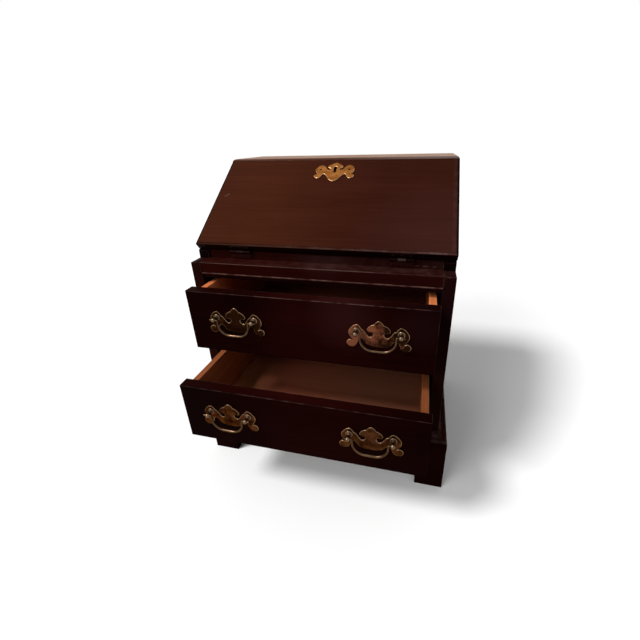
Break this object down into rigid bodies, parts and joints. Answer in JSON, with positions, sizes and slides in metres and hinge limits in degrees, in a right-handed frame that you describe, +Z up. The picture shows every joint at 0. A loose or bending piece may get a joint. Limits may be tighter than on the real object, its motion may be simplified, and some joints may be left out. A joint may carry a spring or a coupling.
{
  "type": "slant-front desk",
  "caption": "Small slant-front writing desk in dark mahogany, with a hinged sloping lid over pigeonholes, drawers with brass batwing bail pulls, and a moulded bracket-foot base.",
  "frame": {"origin": "on the floor, under the middle of the object's box with both drawers standing open as at rest, which is 97 mm behind the face of the case", "axes": "+Z up, -Y out of the drawer fronts, +X to the right seen from the front"},
  "size_m": [0.473, 0.4578, 0.5738],
  "materials": {
    "mahogany": "dark red-brown mahogany with a satin lacquer",
    "drawer_front": "very dark maroon mahogany with a satin lacquer",
    "drawer_wood": "pale orange-tan hardwood, sealed",
    "drawer_floor": "brown stained plywood, sealed",
    "antique_brass": "darkened brass, worn bright on its edges",
    "bright_brass": "warm polished brass",
    "lock_steel": "plain steel"
  },
  "bodies": {
    "case": {"left_side_panel": "mahogany", "right_side_panel": "mahogany", "top_board": "mahogany", "back_panel": "mahogany", "writing_board": "mahogany", "ledge_board": "mahogany", "upper_rail": "mahogany", "drawer_divider": "mahogany", "bottom_board": "mahogany", "base_front": "mahogany", "base_left": "mahogany", "base_right": "mahogany", "base_back": "mahogany", "gallery_shelf": "mahogany", "upper_runner_left": "drawer_wood", "upper_runner_right": "drawer_wood", "lower_guide_left": "drawer_wood", "lower_guide_right": "drawer_wood", "pigeonhole_divider_1": "drawer_wood", "pigeonhole_divider_2": "drawer_wood", "pigeonhole_divider_3": "drawer_wood", "hinge_leaf_left": "antique_brass", "hinge_leaf_right": "antique_brass", "hinge_pin_left": "antique_brass", "hinge_pin_right": "antique_brass", "strike_plate": "bright_brass"},
    "lid": {"lid_panel": "mahogany", "lid_leaf_left": "antique_brass", "lid_leaf_right": "antique_brass", "escutcheon": "bright_brass", "lock_case": "lock_steel"},
    "bolt": {"lock_bolt": "bright_brass"},
    "upper_drawer": {"upper_drawer_front": "drawer_front", "upper_drawer_side_left": "drawer_wood", "upper_drawer_side_right": "drawer_wood", "upper_drawer_back": "drawer_wood", "upper_drawer_bottom": "drawer_floor", "upper_drawer_left_plate": "antique_brass", "upper_drawer_left_post_left": "antique_brass", "upper_drawer_left_post_right": "antique_brass", "upper_drawer_right_plate": "antique_brass", "upper_drawer_right_post_left": "antique_brass", "upper_drawer_right_post_right": "antique_brass"},
    "upper_drawer_left_bail": {"upper_drawer_left_bail": "antique_brass"},
    "upper_drawer_right_bail": {"upper_drawer_right_bail": "antique_brass"},
    "lower_drawer": {"lower_drawer_front": "drawer_front", "lower_drawer_side_left": "drawer_wood", "lower_drawer_side_right": "drawer_wood", "lower_drawer_back": "drawer_wood", "lower_drawer_bottom": "drawer_floor", "lower_drawer_left_plate": "antique_brass", "lower_drawer_left_post_left": "antique_brass", "lower_drawer_left_post_right": "antique_brass", "lower_drawer_right_plate": "antique_brass", "lower_drawer_right_post_left": "antique_brass", "lower_drawer_right_post_right": "antique_brass"},
    "lower_drawer_left_bail": {"lower_drawer_left_bail": "antique_brass"},
    "lower_drawer_right_bail": {"lower_drawer_right_bail": "antique_brass"}
  },
  "joints": [
    {"name": "lid_hinge", "type": "hinge", "parent": "case", "child": "lid", "pos_m": [0, -0.06905, 0.4312], "axis": [1, 0, 0], "range_deg": [0, 143.25]},
    {"name": "bolt_slide", "type": "slide", "parent": "lid", "child": "bolt", "axis": [0, 0.8013, 0.5983], "range_m": [0, 0.0045]},
    {"name": "upper_drawer_slide", "type": "slide", "parent": "case", "child": "upper_drawer", "axis": [0, -1, 0], "range_m": [-0.0545, 0.1555]},
    {"name": "upper_drawer_left_bail_swing", "type": "hinge", "parent": "upper_drawer", "child": "upper_drawer_left_bail", "pos_m": [-0.115, -0.16395, 0.34645], "axis": [-1, 0, 0], "range_deg": [-15, 110]},
    {"name": "upper_drawer_right_bail_swing", "type": "hinge", "parent": "upper_drawer", "child": "upper_drawer_right_bail", "pos_m": [0.115, -0.16395, 0.34645], "axis": [-1, 0, 0], "range_deg": [-15, 110]},
    {"name": "lower_drawer_slide", "type": "slide", "parent": "case", "child": "lower_drawer", "axis": [0, -1, 0], "range_m": [-0.1155, 0.0945]},
    {"name": "lower_drawer_left_bail_swing", "type": "hinge", "parent": "lower_drawer", "child": "lower_drawer_left_bail", "pos_m": [-0.115, -0.22495, 0.2052], "axis": [-1, 0, 0], "range_deg": [-15, 110]},
    {"name": "lower_drawer_right_bail_swing", "type": "hinge", "parent": "lower_drawer", "child": "lower_drawer_right_bail", "pos_m": [0.115, -0.22495, 0.2052], "axis": [-1, 0, 0], "range_deg": [-15, 110]}
  ]
}
